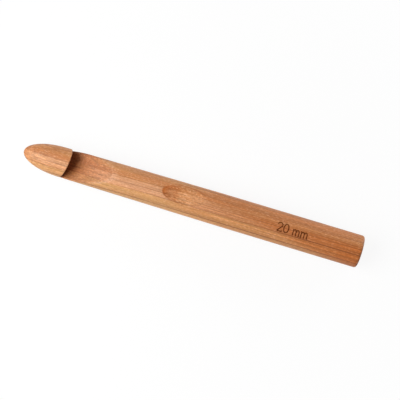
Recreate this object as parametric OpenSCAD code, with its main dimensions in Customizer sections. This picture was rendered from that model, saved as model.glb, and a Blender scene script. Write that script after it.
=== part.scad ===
// Straight wooden crochet hook, turned and carved from one stick.
// It lies along X, tip towards -X, with the throat and the thumb rest facing up.
// The origin is under the middle of its length, on the surface that it lies on. Sizes are in millimetres.

/* [Stick] */
// Overall length, from the tip to the butt
hook_len = 215; // [200:1:260]
// Diameter of the straight handle, which is the hook's size
handle_d = 20; // [17:0.5:25]
// Length of the straight handle, from the butt to where the taper starts
handle_len = 86; // [60:1:97]
// Radius of the softened edge round the butt
butt_round = 1.6; // [0.5:0.1:4]

/* [Nose] */
// Diameter at the base of the nose, where the taper ends
nose_d = 18.7; // [15:0.1:20]
// Length of the nose, a half ellipse when seen from the side
nose_len = 25; // [15:0.5:26]

/* [Throat] */
// Distance from the tip to the shoulder, along the hook's axis
shoulder_at = 27.3; // [26:0.1:40]
// Lean of the shoulder over the throat, in degrees from upright
shoulder_lean = 23; // [0:1:35]
// Depth below the axis of the line where the shoulder and the floor would meet in a sharp corner
throat_sink = 2.7; // [0:0.1:5]
// Rise of the floor towards the handle, in degrees
floor_rise = 20; // [16:1:35]
// Radius of the corner between the shoulder and the floor
corner_r = 1.2; // [0.4:0.1:2.5]

/* [Thumb rest] */
// Distance from the butt to the middle of the thumb rest
thumb_at = 112; // [95:1:118]
// Length of the thumb rest along the shaft
thumb_len = 28; // [20:1:40]
// Depth of the thumb rest at its middle
thumb_depth = 1.9; // [0.8:0.05:3]

/* [Hidden] */
$fn = 96;

handle_r = handle_d / 2;
nose_r = nose_d / 2;
// Distance from the tip to the end of the taper
taper_end = hook_len - handle_len;
// Bands in the curve of the nose
nose_steps = 32;
// How far a cutter stands past the surface that it cuts
overcut = 1;

// Radius of the tapered shaft at a distance from the tip
function shaft_r(at) = nose_r + (handle_r - nose_r) * (at - nose_len) / (taper_end - nose_len);

// Unit vector at an angle
function along(angle) = [cos(angle), sin(angle)];

// Half outline of the stick: radius across, distance from the tip upwards
module stick_outline() {
    butt_r = handle_r - butt_round;
    round_at = hook_len - butt_round;
    nose = [
        for (step = [0 : nose_steps])
            let (turn = 90 * step / nose_steps)
            [nose_r * sin(turn), nose_len * (1 - cos(turn))]
    ];
    polygon(concat(nose, [[handle_r, taper_end], [handle_r, round_at], [0, round_at]]));
    translate([0, taper_end])
        square([butt_r, handle_len]);
    translate([butt_r, round_at])
        circle(butt_round);
}

// The turned stick, before carving, with its tip at the origin
module stick() {
    rotate([0, 90, 0])
        rotate_extrude()
            stick_outline();
}

// Outline of the throat from the side: distance from the tip across, height over the axis upwards
module throat_outline() {
    floor_dir = along(floor_rise);
    shoulder_dir = along(90 - shoulder_lean);
    half_mouth = (90 - shoulder_lean - floor_rise) / 2;
    cut_height = handle_r + overcut + throat_sink;
    foot = [shoulder_at - throat_sink * tan(shoulder_lean), -throat_sink];
    corner = foot + corner_r / sin(half_mouth) * along(floor_rise + half_mouth);
    tangent_len = corner_r / tan(half_mouth);
    polygon([
        corner,
        foot + tangent_len * floor_dir,
        foot + cut_height / floor_dir.y * floor_dir,
        foot + cut_height / shoulder_dir.y * shoulder_dir,
        foot + tangent_len * shoulder_dir
    ]);
    translate(corner)
        circle(corner_r);
}

// Cutter for the throat, which goes right across the stick
module throat() {
    rotate([90, 0, 0])
        linear_extrude(height = handle_d + 2 * overcut, center = true)
            throat_outline();
}

// Cutter for the thumb rest: a large cylinder laid across the top of the shaft
module thumb_rest() {
    thumb_r = (thumb_len ^ 2 / 4 + thumb_depth ^ 2) / (2 * thumb_depth);
    thumb_x = hook_len - thumb_at;
    translate([thumb_x, 0, shaft_r(thumb_x) - thumb_depth + thumb_r])
        rotate([90, 0, 0])
            cylinder(r = thumb_r, h = handle_d + 2 * overcut, center = true);
}

// The whole hook
module hook() {
    color("peru")
        translate([-hook_len / 2, 0, handle_r])
            difference() {
                stick();
                throat();
                thumb_rest();
            }
}

hook();
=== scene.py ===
import math

import bpy
from mathutils import Matrix, Vector


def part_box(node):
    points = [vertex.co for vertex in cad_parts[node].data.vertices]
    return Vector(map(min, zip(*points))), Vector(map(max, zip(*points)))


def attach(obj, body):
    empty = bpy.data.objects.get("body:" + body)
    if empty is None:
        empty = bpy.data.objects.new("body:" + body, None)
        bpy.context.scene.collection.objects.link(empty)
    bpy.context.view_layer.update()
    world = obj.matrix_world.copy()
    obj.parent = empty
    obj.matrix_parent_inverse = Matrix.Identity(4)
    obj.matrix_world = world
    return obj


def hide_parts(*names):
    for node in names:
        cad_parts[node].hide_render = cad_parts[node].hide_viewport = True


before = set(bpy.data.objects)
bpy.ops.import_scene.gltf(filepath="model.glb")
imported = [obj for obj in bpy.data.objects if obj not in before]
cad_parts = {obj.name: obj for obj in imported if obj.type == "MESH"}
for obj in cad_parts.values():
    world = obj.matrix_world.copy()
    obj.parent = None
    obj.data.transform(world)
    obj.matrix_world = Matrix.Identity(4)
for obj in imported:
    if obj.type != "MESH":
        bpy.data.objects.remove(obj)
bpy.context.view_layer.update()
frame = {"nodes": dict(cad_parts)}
mm = 0.001

hookLow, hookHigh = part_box("hook")
hookLength = hookHigh[0] - hookLow[0]
handleRadius = (hookHigh[2] - hookLow[2]) / 2
print("frame loaded: %s, %.1f mm long, %.1f mm thick" % (
    ", ".join(frame["nodes"]), hookLength / mm, 2 * handleRadius / mm))


# shared helpers for geometry and shader trees

def feed(tree, socket, value):  # a socket is linked, anything else is set as the default
    if isinstance(value, bpy.types.NodeSocket):
        tree.links.new(value, socket)
    else:
        socket.default_value = value


def addNode(tree, kind, inputs=None, **props):
    node = tree.nodes.new(kind)
    for name, value in props.items():
        setattr(node, name, value)
    for name, value in (inputs or {}).items():
        feed(tree, node.inputs[name], value)
    return node


def calculator(tree):
    def calc(operation, *values):
        node = addNode(tree, "ShaderNodeMath", operation=operation)
        for socket, value in zip(node.inputs, values):
            feed(tree, socket, value)
        return node.outputs[0]
    return calc


def mapper(tree, kind):  # from a span of values to low and high, held at both ends
    def mapValue(value, span, low=0.0, high=1.0):
        return addNode(tree, "ShaderNodeMapRange", {
            "Value": value, "From Min": span[0], "From Max": span[1],
            "To Min": low, "To Max": high}, interpolation_type=kind).outputs[0]
    return mapValue


def addSocket(tree, name, direction, kind, value=None):
    socket = tree.interface.new_socket(name=name, in_out=direction, socket_type=kind)
    if value is not None:
        socket.default_value = value


# camera at the photograph's viewing angle, worked out from the hook's outlines

cameraSettings = {
    "azimuth": 17.07,      # degrees round from the front
    "elevation": 78.55,    # degrees above the table
    "distance": 0.560,     # to the middle of the hook's axis
    "aside": 0.0059,       # how far the camera stands to its own right
    "above": 0.0005,       # and towards its own top
    "focalPixels": 916.4,  # focal length in pixels of the square picture
    "picturePixels": 400,
}


def makeCamera(settings):
    turn = math.radians(settings["azimuth"])
    rise = math.radians(settings["elevation"])
    back = Vector((math.sin(turn) * math.cos(rise), -math.cos(turn) * math.cos(rise), math.sin(rise)))
    right = Vector((math.cos(turn), math.sin(turn), 0))
    up = back.cross(right)
    middle = Vector((0, 0, handleRadius))
    place = middle + back * settings["distance"] + right * settings["aside"] + up * settings["above"]
    data = bpy.data.cameras.new("camera")
    data.lens = settings["focalPixels"] / settings["picturePixels"] * data.sensor_width
    camera = bpy.data.objects.new("camera", data)
    rotation = Matrix((right, up, back)).transposed().to_4x4()
    camera.matrix_world = Matrix.Translation(place) @ rotation
    bpy.context.collection.objects.link(camera)
    bpy.context.scene.camera = camera


makeCamera(cameraSettings)
print("camera placed")


# wood: growth layers, fibres and flecks from one rule in three dimensions

grainSettings = {
    "Layer Spacing": 3.45,     # mm between growth lines
    "Layer Widening": 0.0015,  # growth of the spacing for each mm along the hook
    "Outer Widening": 0.60,    # growth of the spacing in the outer, yellow layers
    "Layer Tilt": 0.28,        # how far the layers lean, as y per z
    "Layer Drift": 0.0086,     # slope of the layers along the hook
    "Layer Bend": 0.95,        # mm that the layers step down behind the throat
    "Layer Wander": 0.8,       # mm that the lines wander
    "Ring Radius": 45.0,       # mm, of the growth rings that show on the butt
    "Ring Level": 9.0,         # mm over or under the axis where the rings leave the layers in place
    "Heart From": 8.0,         # mm along the hook where the darker heartwood starts
    "Heart At": 8.0,           # mm across the layers to its middle
    "Heart Slope": 0.065,      # fall of its middle for each mm along the hook
}
grainOutputs = ("Layer Tone", "Growth Line", "Fibre", "Streak", "Fleck", "Pore", "Cloud",
                "Heartwood", "Pale Band", "Brown Band")

# how fine each pattern is for each mm along and across the hook, and where it is cut from
grainNoises = {
    "wander": {"along": 0.012, "across": 0.09, "detail": 2.0, "roughness": 0.5, "shift": 3.1},
    "broken": {"along": 0.03, "across": 0.4, "detail": 2.0, "roughness": 0.5, "shift": 7.7},
    "fibre": {"along": 0.06, "across": 2.2, "detail": 3.0, "roughness": 0.6, "shift": 1.3},
    "streak": {"along": 0.009, "across": 0.95, "detail": 2.0, "roughness": 0.65, "shift": 4.2},
    "fleck": {"along": 0.60, "across": 1.5, "detail": 2.0, "roughness": 0.65, "shift": 5.9},
    "pore": {"along": 0.40, "across": 4.5, "detail": 1.0, "roughness": 0.4, "shift": 9.2},
    "cloud": {"along": 0.035, "across": 0.16, "detail": 2.0, "roughness": 0.5, "shift": 12.4},
}

# mm from the middle of the hook, from where an effect sets in to where it is full
grainSpans = {
    "shaft": (-78.0, -20.0),      # the layers' bend is gone
    "nose": (-70.0, -88.0),
    "strongLines": (-60.0, 0.0),
    "wideEdge": (40.0, 75.0),     # the line along the yellow layers widens
    "shaftHeart": (-20.0, 30.0),  # a trace of heartwood all round
    "buttHeart": (86.0, 100.0),   # heartwood at its darkest
    "paleBand": (55.0, -25.0),
    "brownBand": (0.0, -40.0),
    "top": (12.0, 17.0),          # over the table, where the two bands show
}
layerSettings = {
    "toneTurn": 2.4,           # radians of a sine from layer to layer, so that neighbours differ
    "toneSwing": 0.15,
    "toneMiddle": 0.15,
    "outerTone": 0.7,          # added in the outer, yellow layers
    "lineTurn": 1.1,           # the same for how dark the growth lines are
    "lineSwing": 0.35,
    "lineMiddle": 0.65,
    "lineStart": (0.0, 0.02),  # shares of a layer over which its line comes in
    "lineEnd": (0.14, 0.06),   # and goes out
    "edgeWidening": 0.07,      # share by which the line along the yellow layers widens
    "tail": 0.30,              # slow fade past the line
    "tailPower": 4.0,
    "gaps": (0.3, 0.6),        # noise that breaks the lines up
    "gapLevel": 0.75,
    "weakLine": 0.72,          # level of the lines towards the tip
    "noseLine": 0.36,          # added to them on the nose
    "poreLevels": (0.62, 0.72),
}
heartSettings = {
    "taper": 9.5,         # mm that it falls back along the hook for each mm off its middle
    "lean": 4.5,          # more of that on the upper side
    "cloudReach": 40.0,   # mm by which clouds push it forward
    "fade": (0.0, 80.0),  # mm from its first trace to full colour
    "mostOnHandle": 0.86,
    "traceOnShaft": 0.36,
}
bandSettings = {  # edges counted in layers
    "paleStart": (-0.02, 0.02),
    "paleEnd": (2.1, 1.9),
    "brownStart": (1.98, 2.02),
    "brownEnd": (3.1, 2.9),
    "nosePale": -0.5,  # change of the bands on the nose
    "noseBrown": 0.9,
}


def makeGrainGroup(settings, noises, spans, layers, heartwood, bands):
    tree = bpy.data.node_groups.new("woodGrain", "ShaderNodeTree")
    for name, value in settings.items():
        addSocket(tree, name, "INPUT", "NodeSocketFloat", value)
    for name in grainOutputs:
        addSocket(tree, name, "OUTPUT", "NodeSocketFloat")
    calc = calculator(tree)
    smoothStep = mapper(tree, "SMOOTHSTEP")
    given = addNode(tree, "NodeGroupInput").outputs
    coordinates = addNode(tree, "ShaderNodeTexCoord").outputs["Object"]
    inMillimetres = addNode(tree, "ShaderNodeVectorMath", operation="SCALE",
                            inputs={"Vector": coordinates, "Scale": 1 / mm}).outputs[0]
    parts = addNode(tree, "ShaderNodeSeparateXYZ", {"Vector": inMillimetres}).outputs
    along = parts["X"]

    def stretchedNoise(name):
        noise = noises[name]
        shift = noise["shift"]
        mapping = addNode(tree, "ShaderNodeMapping", {
            "Vector": inMillimetres,
            "Location": (shift, shift * 1.7, shift * 0.6),  # off in all three directions
            "Scale": (noise["along"], noise["across"], noise["across"])})
        return addNode(tree, "ShaderNodeTexNoise", {
            "Vector": mapping.outputs[0], "Scale": 1.0,
            "Detail": noise["detail"], "Roughness": noise["roughness"]}).outputs["Fac"]

    # distance across the layers, curved as rings, bent behind the throat and wandering a little
    across = calc("MULTIPLY_ADD", parts["Z"], given["Layer Tilt"], parts["Y"])
    fromAxis = calc("SUBTRACT", parts["Z"], handleRadius / mm)
    ring = calc("SUBTRACT", calc("MULTIPLY", fromAxis, fromAxis), calc("POWER", given["Ring Level"], 2.0))
    across = calc("ADD", across, calc("DIVIDE", ring, calc("MULTIPLY", given["Ring Radius"], 2.0)))
    across = calc("SUBTRACT", across, calc("MULTIPLY", along, given["Layer Drift"]))
    across = calc("ADD", across, smoothStep(along, spans["shaft"], given["Layer Bend"], 0.0))
    wander = calc("SUBTRACT", stretchedNoise("wander"), 0.5)
    across = calc("MULTIPLY_ADD", wander, given["Layer Wander"], across)

    # layers counted from the edge of the yellow ones, which are wider
    widening = calc("MULTIPLY_ADD", along, given["Layer Widening"], 1.0)
    outer = calc("MULTIPLY_ADD", calc("LESS_THAN", across, 0.0), given["Outer Widening"], 1.0)
    spacing = calc("MULTIPLY", given["Layer Spacing"], calc("MULTIPLY", widening, outer))
    layer = calc("DIVIDE", across, spacing)
    layerIndex = calc("FLOOR", layer)
    layerPart = calc("SUBTRACT", layer, layerIndex)

    # each layer has its own tone
    outerTone = calc("MULTIPLY", calc("LESS_THAN", layerIndex, 0.0), layers["outerTone"])
    toneTurn = calc("SINE", calc("MULTIPLY", layerIndex, layers["toneTurn"]))
    tone = calc("MULTIPLY_ADD", toneTurn, layers["toneSwing"], calc("ADD", outerTone, layers["toneMiddle"]))

    # and a dark line where it starts, broken up here and there
    lineTurn = calc("COSINE", calc("MULTIPLY", layerIndex, layers["lineTurn"]))
    strength = calc("MULTIPLY_ADD", lineTurn, layers["lineSwing"], layers["lineMiddle"])
    isEdge = calc("SUBTRACT", 1.0, calc("MINIMUM", calc("ABSOLUTE", layerIndex), 1.0))
    widened = calc("MULTIPLY", isEdge, smoothStep(along, spans["wideEdge"], 0.0, layers["edgeWidening"]))
    sharp = calc("MULTIPLY", smoothStep(calc("SUBTRACT", layerPart, widened), layers["lineEnd"]),
                 smoothStep(layerPart, layers["lineStart"]))
    slow = calc("POWER", calc("SUBTRACT", 1.0, layerPart), layers["tailPower"])
    slow = calc("MULTIPLY", slow, layers["tail"])
    broken = smoothStep(stretchedNoise("broken"), layers["gaps"], layers["gapLevel"], 1.0)
    line = calc("MULTIPLY", calc("MAXIMUM", sharp, slow), calc("MULTIPLY", broken, strength))
    onNose = smoothStep(along, spans["nose"])
    lineLevel = smoothStep(along, spans["strongLines"], layers["weakLine"], 1.0)
    line = calc("MULTIPLY", line, calc("MULTIPLY_ADD", onNose, layers["noseLine"], lineLevel))

    # heartwood: a dark tongue that widens towards the butt
    cloud = stretchedNoise("cloud")
    fromHeart = calc("MULTIPLY_ADD", along, given["Heart Slope"], across)
    fromHeart = calc("SUBTRACT", fromHeart, given["Heart At"])
    fallBack = calc("MULTIPLY_ADD", calc("ABSOLUTE", fromHeart), heartwood["taper"],
                    calc("MULTIPLY", fromHeart, heartwood["lean"]))
    inHeart = calc("SUBTRACT", calc("SUBTRACT", along, given["Heart From"]), fallBack)
    heart = smoothStep(calc("MULTIPLY_ADD", cloud, heartwood["cloudReach"], inHeart), heartwood["fade"])
    heart = calc("MINIMUM", heart, smoothStep(along, spans["buttHeart"], heartwood["mostOnHandle"], 1.0))
    heart = calc("MAXIMUM", heart, smoothStep(along, spans["shaftHeart"], 0.0, heartwood["traceOnShaft"]))

    # a pale and a brown band along the top of the nose and the shaft
    onTop = smoothStep(parts["Z"], spans["top"])
    paleBand = calc("MULTIPLY", smoothStep(layer, bands["paleEnd"]),
                    smoothStep(layer, bands["paleStart"]))
    paleBand = calc("MULTIPLY", paleBand, smoothStep(along, spans["paleBand"]))
    paleLevel = calc("MULTIPLY_ADD", onNose, bands["nosePale"], 1.0)
    paleBand = calc("MULTIPLY", paleBand, calc("MULTIPLY", onTop, paleLevel))
    brownTop = calc("SUBTRACT", layer, onNose)
    brownBand = calc("MULTIPLY", smoothStep(brownTop, bands["brownEnd"]),
                     smoothStep(layer, bands["brownStart"]))
    brownBand = calc("MULTIPLY", brownBand, smoothStep(along, spans["brownBand"]))
    brownLevel = calc("MULTIPLY_ADD", onNose, bands["noseBrown"], 1.0)
    brownBand = calc("MULTIPLY", brownBand, calc("MULTIPLY", onTop, brownLevel))

    pore = smoothStep(stretchedNoise("pore"), layers["poreLevels"])
    results = (tone, line, stretchedNoise("fibre"), stretchedNoise("streak"), stretchedNoise("fleck"), pore,
               cloud, heart, paleBand, brownBand)
    addNode(tree, "NodeGroupOutput", dict(zip(grainOutputs, results)))
    return tree


def mixColour(tree, factor, first, second, blend="MIX"):  # by number, because sockets share names
    node = addNode(tree, "ShaderNodeMix", data_type="RGBA", blend_type=blend)
    feed(tree, node.inputs[0], factor)
    feed(tree, node.inputs[6], first)
    feed(tree, node.inputs[7], second)
    return node.outputs[2]


def newMaterial(name):
    material = bpy.data.materials.new(name)
    material.use_nodes = True
    tree = material.node_tree
    tree.nodes.clear()
    shader = addNode(tree, "ShaderNodeBsdfPrincipled")
    output = addNode(tree, "ShaderNodeOutputMaterial", {"Surface": shader.outputs[0]})
    output.is_active_output = True
    return material, tree, shader


woodColours = {
    "red": (0.52, 0.208, 0.076, 1),
    "yellow": (0.57, 0.290, 0.108, 1),
    "pale": (0.60, 0.285, 0.135, 1),
    "heartwood": (0.43, 0.124, 0.025, 1),
    "line": (0.22, 0.068, 0.021, 1),
    "heartLine": (0.16, 0.046, 0.012, 1),
    "paleFleck": (0.78, 0.47, 0.29, 1),
    "paleHeartFleck": (0.64, 0.26, 0.10, 1),
    "darkFleck": (0.38, 0.135, 0.044, 1),
    "darkHeartFleck": (0.27, 0.070, 0.014, 1),
    "pore": (0.25, 0.085, 0.029, 1),
    "endGrainTint": (0.80, 0.70, 0.58, 1),
    # painted shade: the throat darkened towards the shoulder, and a strip along the thumb rest's far edge
    "nookShadeTint": (0.69, 0.54, 0.45, 1),
    # painted shade where the shoulder and the throat's floor meet
    "cornerTint": (0.66, 0.49, 0.47, 1),
    "scoopTint": (1.0, 0.98, 0.88, 1),
    # painted shade on the thumb rest's wall that faces the handle, away from the key lamp
    "scoopShadeTint": (0.67, 0.31, 0.03, 1),
    "scorch": (0.16, 0.046, 0.013, 1),
}
woodSettings = {
    "cloudTone": 1.2,           # how far clouds push the wood from red to yellow
    "toneShift": -0.55,
    "paleBand": 0.95,
    "brownBand": 0.22,
    "fleckLevel": 0.49,         # in plain wood
    "heartFleckLevel": 0.56,
    "scoopFleckLevel": 0.40,    # added where the thumb rest cuts the fibres
    "paleFlecks": (0.52, 0.72),
    "darkFlecks": (0.48, 0.28),
    "line": 0.9,
    "pore": 0.4,
    "shade": 0.015,             # brightness before fibres and streaks are added
    "fibreShade": 0.70,
    "streakShade": 1.25,
    "tipEnds": (-0.42, -0.92),  # surfaces that cut the fibres, by their normal along the hook
    "buttEnds": (0.80, 0.98),
    # painted shade on the thumb rest's wall that faces the handle, away from the key lamp, by its normal
    # along the hook
    "wideScoopShade": (0.035, 0.080),
    "wideScoopShadeLevel": 0.36,
    "deepScoopShade": (0.155, 0.252),
    "deepScoopShadeLevel": 0.64,
    "fuzzFlecks": (0.42, 0.62),
    "leastFuzz": 0.1,
    "mostFuzz": 0.5,
    "scorch": 0.35,
    "roughness": 0.42,
    "fibreRoughness": 0.20,
    "endRoughness": 0.12,
    "cornerRoughness": 0.4,
    "fibreRelief": 0.6,
    "poreRelief": 0.5,
    "lineRelief": 0.25,
    "bumpStrength": 0.25,
    "bumpDistance": 0.04 * mm,
    "specular": 0.3,
}


def makeWood(grain, colours, settings):
    material, tree, shader = newMaterial("oiledWood")
    calc = calculator(tree)
    mapValue = mapper(tree, "LINEAR")
    made = addNode(tree, "ShaderNodeGroup", node_tree=grain).outputs
    heartwood = made["Heartwood"]

    def mask(name):
        return addNode(tree, "ShaderNodeAttribute", attribute_name=name).outputs["Fac"]

    def level(value, name):
        return calc("MULTIPLY", value, settings[name])

    facing = mask("facing")
    scooped = mask("scooped")
    corner = mask("corner")

    # plain wood, its bands and the heartwood
    tone = calc("MULTIPLY_ADD", made["Cloud"], settings["cloudTone"], settings["toneShift"])
    tone = calc("ADD", made["Layer Tone"], tone)
    colour = mixColour(tree, tone, colours["red"], colours["yellow"])
    colour = mixColour(tree, level(made["Pale Band"], "paleBand"), colour, colours["pale"])
    colour = mixColour(tree, level(made["Brown Band"], "brownBand"), colour, colours["darkFleck"])
    colour = mixColour(tree, heartwood, colour, colours["heartwood"])

    # flecks, growth lines, pores, fibres and streaks
    fleckLevel = mapValue(heartwood, (0.0, 1.0), settings["fleckLevel"], settings["heartFleckLevel"])
    fleckLevel = calc("MULTIPLY_ADD", scooped, settings["scoopFleckLevel"], fleckLevel)
    for shade, plain, inHeart in (("paleFlecks", "paleFleck", "paleHeartFleck"),
                                  ("darkFlecks", "darkFleck", "darkHeartFleck")):
        amount = calc("MULTIPLY", mapValue(made["Fleck"], settings[shade]), fleckLevel)
        fleckColour = mixColour(tree, heartwood, colours[plain], colours[inHeart])
        colour = mixColour(tree, amount, colour, fleckColour)
    lineColour = mixColour(tree, heartwood, colours["line"], colours["heartLine"])
    colour = mixColour(tree, level(made["Growth Line"], "line"), colour, lineColour)
    colour = mixColour(tree, level(made["Pore"], "pore"), colour, colours["pore"])
    shade = calc("MULTIPLY_ADD", made["Fibre"], settings["fibreShade"], settings["shade"])
    shade = calc("MULTIPLY_ADD", made["Streak"], settings["streakShade"], shade)
    grey = addNode(tree, "ShaderNodeCombineColor", {"Red": shade, "Green": shade, "Blue": shade}).outputs[0]
    colour = mixColour(tree, 1.0, colour, grey, "MULTIPLY")

    # cut fibres drink more oil; painted shade darkens the throat towards the shoulder, most of all where
    # the shoulder and the floor meet, and a strip along the thumb rest's far edge; painted shade also
    # darkens the thumb rest's wall that faces the handle, away from the key lamp
    endGrain = calc("MAXIMUM", mapValue(facing, settings["tipEnds"]),
                    mapValue(facing, settings["buttEnds"]))
    deepScoopShade = level(mapValue(facing, settings["deepScoopShade"]), "deepScoopShadeLevel")
    scoopShade = calc("MULTIPLY_ADD", mapValue(facing, settings["wideScoopShade"]), settings["wideScoopShadeLevel"],
                   deepScoopShade)
    for amount, tint in ((endGrain, "endGrainTint"), (mask("nookShade"), "nookShadeTint"), (corner, "cornerTint"),
                         (scooped, "scoopTint"), (calc("MULTIPLY", scoopShade, scooped), "scoopShadeTint")):
        colour = mixColour(tree, amount, colour, colours[tint], "MULTIPLY")

    # sanded edges are paler, and heat has browned the wood round the mark
    fuzz = mapValue(made["Fleck"], settings["fuzzFlecks"], settings["leastFuzz"], settings["mostFuzz"])
    colour = mixColour(tree, calc("MULTIPLY", mask("edgeWear"), fuzz), colour, colours["paleFleck"])
    colour = mixColour(tree, level(mask("scorch"), "scorch"), colour, colours["scorch"])
    feed(tree, shader.inputs["Base Color"], colour)

    roughness = calc("MULTIPLY_ADD", made["Fibre"], settings["fibreRoughness"], settings["roughness"])
    roughness = calc("MULTIPLY_ADD", endGrain, settings["endRoughness"], roughness)
    roughness = calc("MULTIPLY_ADD", corner, settings["cornerRoughness"], roughness)
    feed(tree, shader.inputs["Roughness"], roughness)
    relief = calc("SUBTRACT", level(made["Fibre"], "fibreRelief"), level(made["Pore"], "poreRelief"))
    relief = calc("SUBTRACT", relief, level(made["Growth Line"], "lineRelief"))
    bump = addNode(tree, "ShaderNodeBump", {
        "Height": relief, "Strength": settings["bumpStrength"], "Distance": settings["bumpDistance"]})
    feed(tree, shader.inputs["Normal"], bump.outputs[0])
    shader.inputs["Specular IOR Level"].default_value = settings["specular"]
    return material


burntSettings = {
    "dark": (0.085, 0.022, 0.006, 1),
    "light": (0.160, 0.045, 0.012, 1),
    "fibreTone": 1.6,  # how far fibres push the colour from dark to light
    "toneShift": -0.4,
    "roughness": 0.62,
    "fibreRoughness": 0.2,
    "bumpStrength": 0.5,
    "bumpDistance": 0.06 * mm,
    "specular": 0.0,
}


def makeBurntWood(grain, settings):
    material, tree, shader = newMaterial("burntMark")
    calc = calculator(tree)
    fibre = addNode(tree, "ShaderNodeGroup", node_tree=grain).outputs["Fibre"]
    tone = calc("MULTIPLY_ADD", fibre, settings["fibreTone"], settings["toneShift"])
    feed(tree, shader.inputs["Base Color"], mixColour(tree, tone, settings["dark"], settings["light"]))
    roughness = calc("MULTIPLY_ADD", fibre, settings["fibreRoughness"], settings["roughness"])
    feed(tree, shader.inputs["Roughness"], roughness)
    bump = addNode(tree, "ShaderNodeBump", {
        "Height": fibre, "Strength": settings["bumpStrength"], "Distance": settings["bumpDistance"]})
    feed(tree, shader.inputs["Normal"], bump.outputs[0])
    shader.inputs["Specular IOR Level"].default_value = settings["specular"]
    return material


grainGroup = makeGrainGroup(grainSettings, grainNoises, grainSpans,
                            layerSettings, heartSettings, bandSettings)
oiledWood = makeWood(grainGroup, woodColours, woodSettings)
burntMark = makeBurntWood(grainGroup, burntSettings)
print("wood materials made")


# the hook itself: one solid from distances to the turned stick, the throat and the thumb rest

hookSettings = {
    "Hook Length": hookLength,
    "Handle Radius": handleRadius,
    "Handle Length": 86 * mm,
    "Butt Round": 1.6 * mm,
    "Nose Radius": 9.35 * mm,
    "Nose Length": 25 * mm,
    "Shoulder At": 27.3 * mm,
    "Shoulder Lean": math.radians(23),
    "Shoulder Skew": math.radians(3),  # a saw cut by hand is never quite square
    "Throat Sink": 2.7 * mm,
    "Floor Rise": math.radians(20),
    "Corner Radius": 1.2 * mm,
    "Lip Edge": 0.45 * mm,             # sanded edge of the lip
    "Run-out Edge": 0.60 * mm,         # softer edge where the throat's floor runs out
    "Lip Edge To": 36 * mm,            # from the tip, where one edge turns into the other
    "Run-out Edge From": 54 * mm,
    "Thumb At": 112 * mm,
    "Thumb Length": 28 * mm,
    "Thumb Depth": 1.9 * mm,
    "Thumb Edge": 0.20 * mm,
    "Hand Wobble": 0.06 * mm,          # unevenness left by hand sanding
    "Wobble Scale": 70.0,              # its waves for each metre
    "Voxel": 0.45 * mm,
    "Weld": 0.004 * mm,                # points closer than this become one
}
markSettings = {
    "Mark At": 64.5 * mm,             # middle of the size mark, from the middle of the hook
    "Mark Turn": math.radians(-6.6),  # round the handle from the top
    "Mark Height": 5.3 * mm,
    "Stroke Radius": 0.30 * mm,
    "Stroke Step": 0.2 * mm,          # between the points of a stroke
    "Scorch Reach": 0.35 * mm,
    "Sharp Angle": math.radians(35),  # steeper edges in the mark aren't smoothed
}

# where the wood is worn, darkened or given painted shade, from where a mask sets in to where it is full
maskSettings = {
    "throatSkin": 0.3 * mm,              # how near to the throat a point counts as on it
    "thumbSkin": 0.2 * mm,
    "runOut": (38 * mm, 54 * mm),        # from the tip
    "edgeWear": (0.9 * mm, 0.1 * mm),    # from the throat's edge
    "scooped": (0.08 * mm, 0.26 * mm),   # depth under the stick's surface
    # painted shade in the throat, full near the shoulder
    "nookShade": (34 * mm, 6 * mm),           # from the shoulder
    # painted shade where the shoulder and the floor meet, full at the crease
    "corner": (3.0 * mm, 0.8 * mm),      # from the line where the shoulder and the floor meet
    # painted shade along the thumb rest's far edge
    "rimOuter": (0.80 * mm, 0.35 * mm),  # outside the thumb rest's cut
    "rimInner": (0.0, 0.12 * mm),
    "rimSide": (3.2 * mm, 5.6 * mm),     # across the hook, so that only the far edge is darker
    "rimLevel": 0.8,
    "rimStart": (95 * mm, 100 * mm),     # from the tip
    "burntEdge": 0.1,                    # an edge has a share in the faces beside it
    "burntFace": 0.5,
}


def lengthOf(calc, a, b):
    return calc("SQRT", calc("MULTIPLY_ADD", a, a, calc("MULTIPLY", b, b)))


def opposite(calc, value):
    return calc("MULTIPLY", value, -1.0)


def roundedMax(calc, a, b, radius):  # where two faces meet, their edge gets this radius
    pastA = calc("ADD", a, radius)
    pastB = calc("ADD", b, radius)
    outer = lengthOf(calc, calc("MAXIMUM", pastA, 0.0), calc("MAXIMUM", pastB, 0.0))
    inner = calc("MINIMUM", calc("MAXIMUM", pastA, pastB), 0.0)
    return calc("SUBTRACT", calc("ADD", inner, outer), radius)


def placeOnHook(tree, given):
    calc = calculator(tree)
    position = addNode(tree, "GeometryNodeInputPosition").outputs[0]
    parts = addNode(tree, "ShaderNodeSeparateXYZ", {"Vector": position}).outputs
    halfLength = calc("MULTIPLY", given["Hook Length"], 0.5)
    return {
        "position": position,
        "x": parts["X"],
        "y": parts["Y"],
        "fromTip": calc("ADD", parts["X"], halfLength),
        "height": calc("SUBTRACT", parts["Z"], given["Handle Radius"]),  # over the axis
    }


def shaftRadius(calc, given, beyondNose):
    taperEnd = calc("SUBTRACT", given["Hook Length"], given["Handle Length"])
    taperLength = calc("SUBTRACT", taperEnd, given["Nose Length"])
    taperPart = calc("MINIMUM", calc("DIVIDE", beyondNose, taperLength), 1.0)
    growth = calc("SUBTRACT", given["Handle Radius"], given["Nose Radius"])
    return calc("MULTIPLY_ADD", taperPart, growth, given["Nose Radius"])


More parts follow.
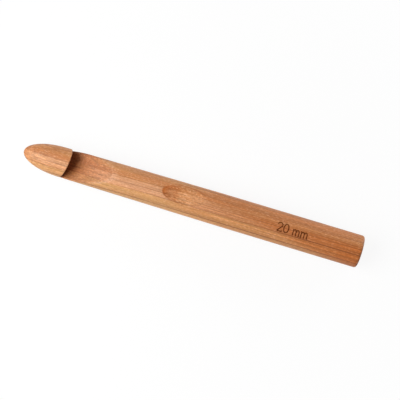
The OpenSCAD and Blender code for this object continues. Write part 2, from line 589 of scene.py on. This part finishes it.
def turnedStick(tree, given, at):  # half ellipse, taper, straight handle, rounded butt
    calc = calculator(tree)
    radial = lengthOf(calc, at["y"], at["height"])
    beyondNose = calc("SUBTRACT", at["fromTip"], given["Nose Length"])
    shaft = calc("SUBTRACT", radial, shaftRadius(calc, given, beyondNose))
    alongPart = calc("DIVIDE", beyondNose, given["Nose Length"])
    acrossPart = calc("DIVIDE", radial, given["Nose Radius"])
    ellipse = lengthOf(calc, alongPart, acrossPart)
    slope = lengthOf(calc, calc("DIVIDE", alongPart, given["Nose Length"]),
                     calc("DIVIDE", acrossPart, given["Nose Radius"]))
    nose = calc("MULTIPLY", calc("SUBTRACT", ellipse, 1.0), ellipse)
    nose = calc("DIVIDE", nose, calc("MAXIMUM", slope, 1.0))  # the floor of 1 keeps the middle finite
    isShaft = calc("GREATER_THAN", beyondNose, 0.0)
    stick = calc("ADD", nose, calc("MULTIPLY", isShaft, calc("SUBTRACT", shaft, nose)))
    pastButt = calc("SUBTRACT", at["fromTip"], given["Hook Length"])
    stick = roundedMax(calc, stick, pastButt, given["Butt Round"])
    noise = addNode(tree, "ShaderNodeTexNoise", {
        "Vector": at["position"], "Scale": given["Wobble Scale"], "Detail": 1.0}).outputs["Fac"]
    return calc("ADD", stick, calc("MULTIPLY", calc("SUBTRACT", noise, 0.5), given["Hand Wobble"]))


def throatCut(tree, given, at):  # everything past the leaning shoulder and over the rising floor
    calc = calculator(tree)
    leanTan = calc("TANGENT", given["Shoulder Lean"])
    lipAt = calc("MULTIPLY_ADD", at["y"], calc("TANGENT", given["Shoulder Skew"]), given["Shoulder At"])
    pastShoulder = calc("SUBTRACT", calc("SUBTRACT", at["fromTip"], lipAt),
                        calc("MULTIPLY", at["height"], leanTan))
    pastShoulder = calc("MULTIPLY", pastShoulder, calc("COSINE", given["Shoulder Lean"]))
    foot = calc("SUBTRACT", given["Shoulder At"], calc("MULTIPLY", given["Throat Sink"], leanTan))
    fromFoot = calc("SUBTRACT", at["fromTip"], foot)
    floorRise = calc("MULTIPLY", fromFoot, calc("TANGENT", given["Floor Rise"]))
    overFloor = calc("SUBTRACT", calc("ADD", at["height"], given["Throat Sink"]), floorRise)
    overFloor = calc("MULTIPLY", overFloor, calc("COSINE", given["Floor Rise"]))
    throat = roundedMax(calc, opposite(calc, pastShoulder), opposite(calc, overFloor),
                        given["Corner Radius"])
    return {"throat": throat, "pastShoulder": pastShoulder, "overFloor": overFloor}


def thumbCut(tree, given, at):  # a wide cylinder laid across the top
    calc = calculator(tree)
    thumbX = calc("SUBTRACT", given["Hook Length"], given["Thumb At"])
    halfThumb = calc("MULTIPLY", given["Thumb Length"], 0.5)
    depthSquare = calc("MULTIPLY", given["Thumb Depth"], given["Thumb Depth"])
    radius = calc("DIVIDE", calc("MULTIPLY_ADD", halfThumb, halfThumb, depthSquare),
                  calc("MULTIPLY", given["Thumb Depth"], 2.0))
    top = shaftRadius(calc, given, calc("SUBTRACT", thumbX, given["Nose Length"]))
    middle = calc("ADD", calc("SUBTRACT", top, given["Thumb Depth"]), radius)
    away = lengthOf(calc, calc("SUBTRACT", at["fromTip"], thumbX), calc("SUBTRACT", at["height"], middle))
    return calc("SUBTRACT", away, radius)


def meshOf(tree, given, body):  # the surface where the distance is zero
    calc = calculator(tree)
    outside = opposite(calc, body)
    margin = calc("MULTIPLY", given["Voxel"], 3.0)  # room for three voxels all round
    boxX = calc("ADD", calc("MULTIPLY", given["Hook Length"], 0.5), margin)
    boxY = calc("ADD", given["Handle Radius"], margin)
    boxTop = calc("MULTIPLY_ADD", given["Handle Radius"], 2.0, margin)
    low = addNode(tree, "ShaderNodeCombineXYZ", {
        "X": opposite(calc, boxX), "Y": opposite(calc, boxY), "Z": opposite(calc, margin)})
    high = addNode(tree, "ShaderNodeCombineXYZ", {"X": boxX, "Y": boxY, "Z": boxTop})
    stepsX = calc("CEIL", calc("DIVIDE", calc("MULTIPLY", boxX, 2.0), given["Voxel"]))
    stepsY = calc("CEIL", calc("DIVIDE", calc("MULTIPLY", boxY, 2.0), given["Voxel"]))
    cube = addNode(tree, "GeometryNodeVolumeCube", {
        "Density": outside, "Background": -1.0, "Min": low.outputs[0], "Max": high.outputs[0],
        "Resolution X": stepsX, "Resolution Y": stepsY, "Resolution Z": stepsY})
    surface = addNode(tree, "GeometryNodeVolumeToMesh", {"Volume": cube.outputs[0], "Threshold": 0.0},
                      resolution_mode="GRID").outputs[0]
    for stage in range(2):  # each point is moved the rest of the way, and once more
        normal = addNode(tree, "GeometryNodeInputNormal").outputs[0]
        shift = addNode(tree, "ShaderNodeVectorMath", operation="SCALE",
                        inputs={"Vector": normal, "Scale": outside}).outputs[0]
        surface = addNode(tree, "GeometryNodeSetPosition", {
            "Geometry": surface, "Offset": shift}).outputs[0]
    return surface


def markStrokes(tree):  # 20 mm in plain strokes, one unit tall, with the middle at the origin
    strokes = addNode(tree, "GeometryNodeJoinGeometry")
    middleX, middleY = 1.80, 0.5
    arcPoints, ringPoints = 24, 48

    def place(curve, x, y, width=1.0, height=1.0):
        moved = addNode(tree, "GeometryNodeTransform", {
            "Geometry": curve, "Translation": (x - middleX, y - middleY, 0), "Scale": (width, height, 1)})
        tree.links.new(moved.outputs[0], strokes.inputs[0])

    def line(x0, y0, x1, y1):
        place(addNode(tree, "GeometryNodeCurvePrimitiveLine", {
            "Start": (x0, y0, 0), "End": (x1, y1, 0)}).outputs[0], 0, 0)

    def arc(x, y, width, height, start, sweep):
        place(addNode(tree, "GeometryNodeCurveArc", {
            "Resolution": arcPoints, "Radius": 1.0, "Start Angle": math.radians(start),
            "Sweep Angle": math.radians(sweep)}).outputs[0], x, y, width, height)

    def drawTwo(x):
        left, right = x + 0.03, x + 0.57
        arc(x + 0.29, 0.72, 0.27, 0.28, 170, -205)
        line(x + 0.51, 0.56, left, 0.0)
        line(left, 0.0, right, 0.0)
        line(right, 0.0, x + 0.59, 0.13)

    def drawNought(x):
        ring = addNode(tree, "GeometryNodeCurvePrimitiveCircle", {
            "Resolution": ringPoints, "Radius": 1.0}).outputs[0]
        place(ring, x + 0.29, 0.5, 0.27, 0.5)

    def drawM(x):
        stems = (0.09, 0.43, 0.77)
        tops = (0.64, 0.48, 0.48)
        serif = 0.08
        line(x, tops[0], x + stems[0], tops[0])
        for stem, top in zip(stems, tops):
            line(x + stem, 0.0, x + stem, top)
            line(x + stem - serif, 0.0, x + stem + serif, 0.0)
        for left, right in zip(stems, stems[1:]):
            arc(x + (left + right) / 2, 0.45, 0.16, 0.19, 185, -190)

    for draw, x in ((drawTwo, 0.0), (drawNought, 0.74), (drawM, 1.78), (drawM, 2.72)):
        draw(x)
    return strokes.outputs[0]


def markTubes(tree, given, at):  # the strokes bent round the handle, as tubes to sink into it
    calc = calculator(tree)
    tubeSides = 10
    size = addNode(tree, "ShaderNodeCombineXYZ", {
        "X": given["Mark Height"], "Y": given["Mark Height"], "Z": 1.0})
    strokes = addNode(tree, "GeometryNodeTransform", {
        "Geometry": markStrokes(tree), "Scale": size.outputs[0]}).outputs[0]
    strokes = addNode(tree, "GeometryNodeResampleCurve", {"Curve": strokes, "Length": given["Stroke Step"]},
                      mode="LENGTH").outputs[0]
    turn = calc("ADD", calc("DIVIDE", at["y"], given["Handle Radius"]), given["Mark Turn"])
    bent = addNode(tree, "ShaderNodeCombineXYZ", {
        "X": calc("ADD", at["x"], given["Mark At"]),
        "Y": calc("MULTIPLY", given["Handle Radius"], calc("SINE", turn)),
        "Z": calc("MULTIPLY_ADD", given["Handle Radius"], calc("COSINE", turn), given["Handle Radius"])})
    strokes = addNode(tree, "GeometryNodeSetPosition", {
        "Geometry": strokes, "Position": bent.outputs[0]}).outputs[0]
    section = addNode(tree, "GeometryNodeCurvePrimitiveCircle", {
        "Resolution": tubeSides, "Radius": given["Stroke Radius"]}).outputs[0]
    tubes = addNode(tree, "GeometryNodeCurveToMesh", {
        "Curve": strokes, "Profile Curve": section, "Fill Caps": True}).outputs[0]
    joined = addNode(tree, "GeometryNodeMeshBoolean", {"Self Intersection": True, "Mesh 2": tubes},
                     operation="UNION", solver="EXACT").outputs[0]
    return addNode(tree, "GeometryNodeStoreNamedAttribute", {
        "Geometry": joined, "Name": "burnt", "Value": 1.0}, data_type="FLOAT", domain="FACE").outputs[0]


def surfaceMasks(tree, given, masks, at, shapes, tubes):
    calc = calculator(tree)
    mapValue = mapper(tree, "LINEAR")
    smoothStep = mapper(tree, "SMOOTHSTEP")

    def awayFrom(shape):  # on either side of it
        return calc("ABSOLUTE", shapes[shape])

    # heat round the strokes, and wear along the edge where the throat runs out
    near = addNode(tree, "GeometryNodeProximity", {"Geometry": tubes}, target_element="FACES")
    reach = calc("DIVIDE", near.outputs["Distance"], given["Scorch Reach"])
    scorch = calc("SUBTRACT", 1.0, calc("MINIMUM", reach, 1.0))
    fromEdge = calc("ADD", awayFrom("stick"), awayFrom("throat"))
    edgeWear = smoothStep(fromEdge, masks["edgeWear"], 0.0, smoothStep(at["fromTip"], masks["runOut"]))

    # the thumb rest, and painted shade along its far edge
    depth = calc("MAXIMUM", opposite(calc, shapes["stick"]), 0.0)
    inThumb = calc("LESS_THAN", awayFrom("thumb"), masks["thumbSkin"])
    scooped = calc("MULTIPLY", inThumb, mapValue(depth, masks["scooped"]))
    rim = calc("MULTIPLY", smoothStep(shapes["thumb"], masks["rimOuter"]),
               smoothStep(shapes["thumb"], masks["rimInner"]))
    rim = calc("MULTIPLY", rim, smoothStep(at["y"], masks["rimSide"], 0.0, masks["rimLevel"]))
    rim = calc("MULTIPLY", rim, smoothStep(at["fromTip"], masks["rimStart"]))

    # the throat: painted shade, darker towards the shoulder and most of all where the shoulder and the
    # floor meet
    onThroat = calc("LESS_THAN", awayFrom("throat"), masks["throatSkin"])
    nookShade = calc("MULTIPLY", onThroat, mapValue(shapes["pastShoulder"], masks["nookShade"]))
    fromCorner = calc("ADD", awayFrom("pastShoulder"), awayFrom("overFloor"))
    corner = calc("MULTIPLY", onThroat, smoothStep(fromCorner, masks["corner"]))

    normal = addNode(tree, "GeometryNodeInputNormal").outputs[0]
    facing = addNode(tree, "ShaderNodeSeparateXYZ", {"Vector": normal}).outputs["X"]
    # painted shade in the throat and along the thumb rest's far edge, carried as one attribute
    return {"scorch": scorch, "edgeWear": edgeWear, "nookShade": calc("MAXIMUM", nookShade, rim),
            "corner": corner, "scooped": scooped, "facing": facing}


def makeHookTree(sizes, mark, masks, wood, burnt):
    tree = bpy.data.node_groups.new("hookShape", "GeometryNodeTree")
    addSocket(tree, "Geometry", "OUTPUT", "NodeSocketGeometry")
    for name, value in {**sizes, **mark}.items():
        addSocket(tree, name, "INPUT", "NodeSocketFloat", value)
    calc = calculator(tree)
    given = addNode(tree, "NodeGroupInput").outputs
    at = placeOnHook(tree, given)

    # the stick less the throat and the thumb rest, with sanded edges
    shapes = {"stick": turnedStick(tree, given, at), **throatCut(tree, given, at),
              "thumb": thumbCut(tree, given, at)}
    throatEdge = mapper(tree, "SMOOTHSTEP")(
        at["fromTip"], (given["Lip Edge To"], given["Run-out Edge From"]),
        given["Lip Edge"], given["Run-out Edge"])
    body = roundedMax(calc, shapes["stick"], opposite(calc, shapes["throat"]), throatEdge)
    body = roundedMax(calc, body, opposite(calc, shapes["thumb"]), given["Thumb Edge"])
    surface = meshOf(tree, given, body)
    tubes = markTubes(tree, given, at)
    for name, value in surfaceMasks(tree, given, masks, at, shapes, tubes).items():
        surface = addNode(tree, "GeometryNodeStoreNamedAttribute", {
            "Geometry": surface, "Name": name, "Value": value},
            data_type="FLOAT", domain="POINT").outputs[0]

    # the strokes are cut out, and their walls keep a sharp edge to the smooth wood
    cut = addNode(tree, "GeometryNodeMeshBoolean", {"Mesh 1": surface, "Mesh 2": tubes},
                  operation="DIFFERENCE", solver="MANIFOLD").outputs[0]
    result = addNode(tree, "GeometryNodeMergeByDistance", {
        "Geometry": cut, "Distance": given["Weld"]}).outputs[0]
    result = addNode(tree, "GeometryNodeSetShadeSmooth", {"Geometry": result}).outputs[0]
    burntShare = addNode(tree, "GeometryNodeInputNamedAttribute", {"Name": "burnt"},
                         data_type="FLOAT").outputs[0]
    edgeAngle = addNode(tree, "GeometryNodeInputMeshEdgeAngle").outputs["Unsigned Angle"]
    sharp = calc("MULTIPLY", calc("GREATER_THAN", edgeAngle, given["Sharp Angle"]),
                 calc("GREATER_THAN", burntShare, masks["burntEdge"]))
    result = addNode(tree, "GeometryNodeSetShadeSmooth", {
        "Geometry": result, "Selection": sharp, "Shade Smooth": False}, domain="EDGE").outputs[0]
    result = addNode(tree, "GeometryNodeRealizeInstances", {"Geometry": result}).outputs[0]
    result = addNode(tree, "GeometryNodeSetMaterial", {"Geometry": result, "Material": wood}).outputs[0]
    inMark = calc("GREATER_THAN", burntShare, masks["burntFace"])
    result = addNode(tree, "GeometryNodeSetMaterial", {
        "Geometry": result, "Selection": inMark, "Material": burnt}).outputs[0]
    addNode(tree, "NodeGroupOutput", {"Geometry": result})
    return tree


def makeHook(tree, values):
    hook = bpy.data.objects.new("hookWood", bpy.data.meshes.new("hookWood"))
    bpy.context.collection.objects.link(hook)
    modifier = hook.modifiers.new("shape", "NODES")
    modifier.node_group = tree
    for item in tree.interface.items_tree:
        if item.in_out == "INPUT":
            modifier[item.identifier] = values[item.name]
    evaluated = hook.evaluated_get(bpy.context.evaluated_depsgraph_get())
    shaped = bpy.data.meshes.new_from_object(evaluated)
    hook.modifiers.clear()
    hook.data = shaped
    return hook


hookTree = makeHookTree(hookSettings, markSettings, maskSettings, oiledWood, burntMark)
hook = makeHook(hookTree, {**hookSettings, **markSettings})
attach(hook, "root")
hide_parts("hook")
triangles = sum(len(face.vertices) - 2 for face in hook.data.polygons)
print("hook made: %d faces, %d triangles" % (len(hook.data.polygons), triangles))


# floor and light

floorSettings = {
    "size": 3.0,
    "colour": (0.90, 0.90, 0.90, 1),
    "roughness": 0.9,
    "whiteShare": 0.88,           # near the hook, where its shadow falls
    "whiteGrowth": (0.05, 0.28),  # from the middle, over which the floor grows fully white
}
lightSettings = {
    "key": {"at": (-0.44, -0.19, 0.50), "towards": (-0.03, 0, 0), "size": 0.62, "power": 5.95},
    "front": {"at": (-0.45, -0.62, 0.46), "towards": (-0.05, 0, 0), "size": 0.22, "power": 0.9},
    "back": {"at": (0.60, 0.72, 0.20), "towards": (0.05, 0, 0), "size": 0.6, "power": 5.2},
}
skyStrength = 0.14


def seenRays(tree):  # 1 for the rays that show a surface, 0 for those that only light it
    calc = calculator(tree)
    path = addNode(tree, "ShaderNodeLightPath").outputs
    mirrored = calc("MAXIMUM", path["Is Glossy Ray"], path["Is Transmission Ray"])
    return calc("MAXIMUM", path["Is Camera Ray"], mirrored)


def makeFloor(settings):
    size = settings["size"]
    data = bpy.data.meshes.new("floor")
    corners = [(-size, -size, 0), (size, -size, 0), (size, size, 0), (-size, size, 0)]
    data.from_pydata(corners, [], [(0, 1, 2, 3)])
    floor = bpy.data.objects.new("floor", data)
    bpy.context.collection.objects.link(floor)
    material, tree, shader = newMaterial("paleFloor")
    shader.inputs["Base Color"].default_value = settings["colour"]
    shader.inputs["Roughness"].default_value = settings["roughness"]
    shader.inputs["Specular IOR Level"].default_value = 0.0
    white = addNode(tree, "ShaderNodeEmission", {"Color": (1, 1, 1, 1), "Strength": 1.0})
    place = addNode(tree, "ShaderNodeTexCoord").outputs["Object"]
    away = addNode(tree, "ShaderNodeVectorMath", {"Vector": place}, operation="LENGTH").outputs["Value"]
    share = mapper(tree, "LINEAR")(away, settings["whiteGrowth"], settings["whiteShare"], 1.0)
    share = calculator(tree)("MULTIPLY", seenRays(tree), share)
    mixed = addNode(tree, "ShaderNodeMixShader", {"Fac": share})
    tree.links.new(shader.outputs[0], mixed.inputs[1])
    tree.links.new(white.outputs[0], mixed.inputs[2])
    output = next(node for node in tree.nodes if node.bl_idname == "ShaderNodeOutputMaterial")
    tree.links.new(mixed.outputs[0], output.inputs["Surface"])
    data.materials.append(material)


def makeLight(name, settings):
    data = bpy.data.lights.new(name, "AREA")
    data.shape = "DISK"
    data.size = settings["size"]
    data.energy = settings["power"]
    light = bpy.data.objects.new(name, data)
    light.location = Vector(settings["at"])
    away = light.location - Vector(settings["towards"])
    light.rotation_euler = away.to_track_quat("Z", "Y").to_euler()
    bpy.context.collection.objects.link(light)


def makeSky(strength):  # white where it is seen, at a plain level where it lights
    world = bpy.data.worlds.new("sky")
    world.use_nodes = True
    tree = world.node_tree
    background = tree.nodes["Background"]
    background.inputs["Color"].default_value = (1, 1, 1, 1)
    shown = mapper(tree, "LINEAR")(seenRays(tree), (0.0, 1.0), strength, 1.0)
    feed(tree, background.inputs["Strength"], shown)
    bpy.context.scene.world = world


makeFloor(floorSettings)
for lightName, values in lightSettings.items():
    makeLight(lightName, values)
makeSky(skyStrength)
bpy.context.scene.view_settings.view_transform = "Standard"
print("floor and lights made")
